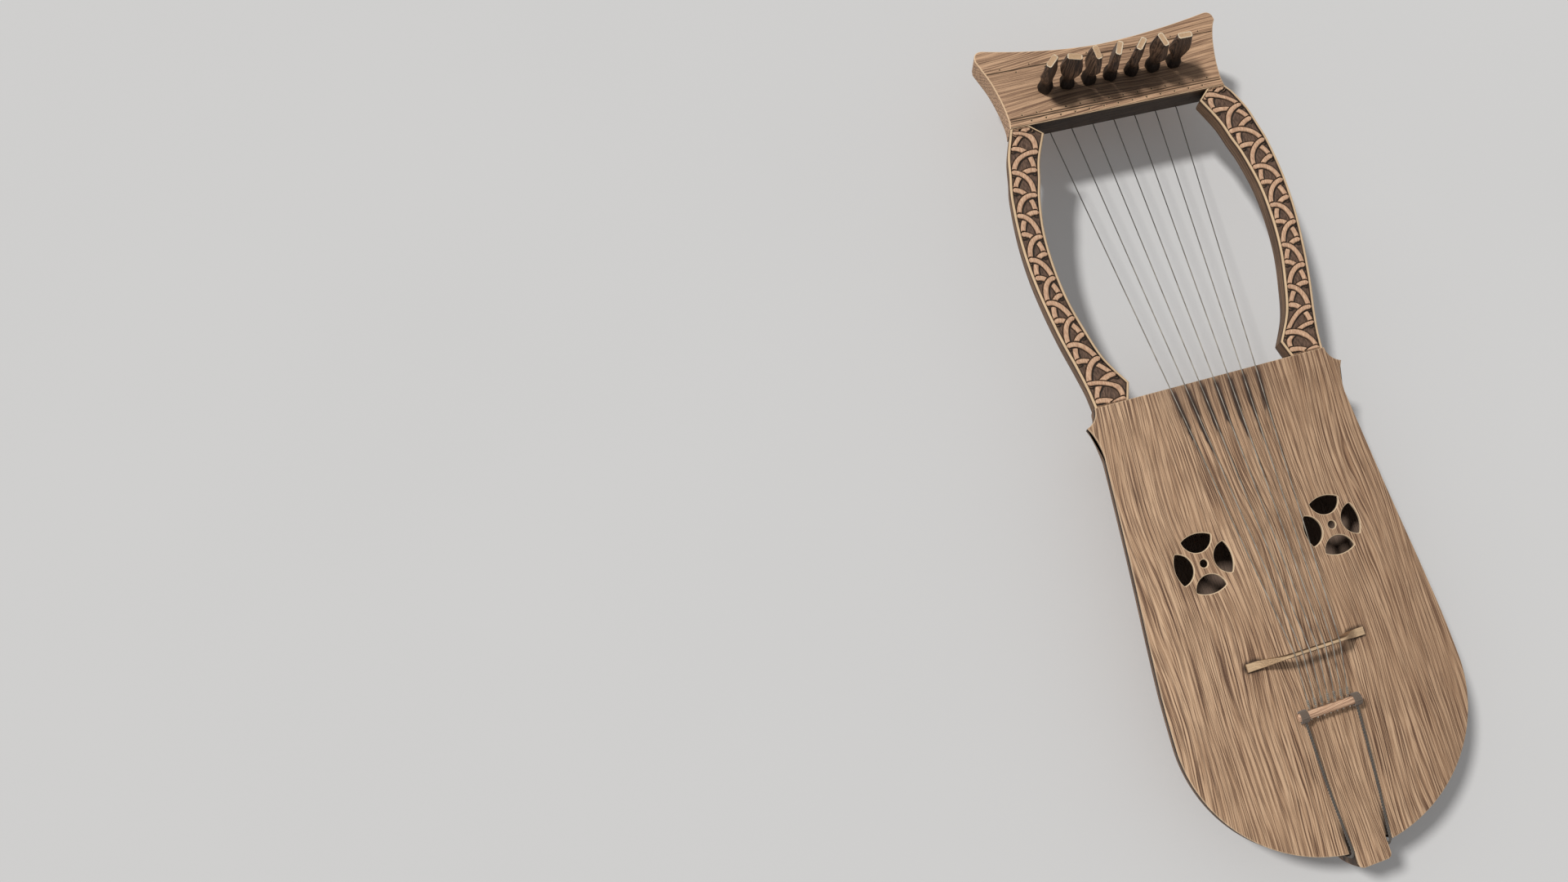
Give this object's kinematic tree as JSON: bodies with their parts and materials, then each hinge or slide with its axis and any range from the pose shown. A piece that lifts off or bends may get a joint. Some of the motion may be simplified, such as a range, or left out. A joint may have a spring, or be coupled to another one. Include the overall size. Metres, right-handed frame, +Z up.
{
  "type": "bowl lyre",
  "caption": "Bowl-backed wooden lyre with a carved hollow body, two bowed arms with interlace carving, a yoke of upright tuning pegs, an arched bridge and a corded tailpiece.",
  "frame": {"origin": "on the floor under the middle of the lyre as it lies on its back", "axes": "+Y along the lyre towards its yoke and pegs, +Z up out of the soundboard, +X to the right of someone who faces the soundboard with the yoke at the top"},
  "size_m": [0.263, 0.772, 0.124],
  "materials": {
    "bowl_wood": "worn oiled wood, dark, strong long grain",
    "soundboard_wood": "pale satin softwood",
    "carved_wood": "satin wood with light worn edges",
    "peg_wood": "dark satin wood, knife-cut facets",
    "bridge_wood": "satin wood",
    "gut_string": "twisted gut, satin",
    "cord": "twisted dark cord"
  },
  "bodies": {
    "frame": {"soundbox": "bowl_wood", "soundboard": "soundboard_wood", "arm_left": "carved_wood", "arm_right": "carved_wood", "yoke": "carved_wood", "bridge": "bridge_wood", "tailpiece_bar": "bridge_wood", "tail_cord": "cord", "string_1": "gut_string", "string_2": "gut_string", "string_3": "gut_string", "string_4": "gut_string", "string_5": "gut_string", "string_6": "gut_string", "string_7": "gut_string"},
    "tuner_1": {"peg_1": "peg_wood", "string_winding_1": "gut_string"},
    "tuner_2": {"peg_2": "peg_wood", "string_winding_2": "gut_string"},
    "tuner_3": {"peg_3": "peg_wood", "string_winding_3": "gut_string"},
    "tuner_4": {"peg_4": "peg_wood", "string_winding_4": "gut_string"},
    "tuner_5": {"peg_5": "peg_wood", "string_winding_5": "gut_string"},
    "tuner_6": {"peg_6": "peg_wood", "string_winding_6": "gut_string"},
    "tuner_7": {"peg_7": "peg_wood", "string_winding_7": "gut_string"}
  },
  "joints": [
    {"name": "peg_1_turn", "type": "hinge", "parent": "frame", "child": "tuner_1", "pos_m": [-0.063, 0.3385, 0.0655], "axis": [0, 0, 1], "continuous": true},
    {"name": "peg_2_turn", "type": "hinge", "parent": "frame", "child": "tuner_2", "pos_m": [-0.042, 0.3385, 0.0655], "axis": [0, 0, 1], "continuous": true},
    {"name": "peg_3_turn", "type": "hinge", "parent": "frame", "child": "tuner_3", "pos_m": [-0.021, 0.3385, 0.0655], "axis": [0, 0, 1], "continuous": true},
    {"name": "peg_4_turn", "type": "hinge", "parent": "frame", "child": "tuner_4", "pos_m": [0, 0.3385, 0.0655], "axis": [0, 0, 1], "continuous": true},
    {"name": "peg_5_turn", "type": "hinge", "parent": "frame", "child": "tuner_5", "pos_m": [0.021, 0.3385, 0.0655], "axis": [0, 0, 1], "continuous": true},
    {"name": "peg_6_turn", "type": "hinge", "parent": "frame", "child": "tuner_6", "pos_m": [0.042, 0.3385, 0.0655], "axis": [0, 0, 1], "continuous": true},
    {"name": "peg_7_turn", "type": "hinge", "parent": "frame", "child": "tuner_7", "pos_m": [0.063, 0.3385, 0.0655], "axis": [0, 0, 1], "continuous": true}
  ]
}
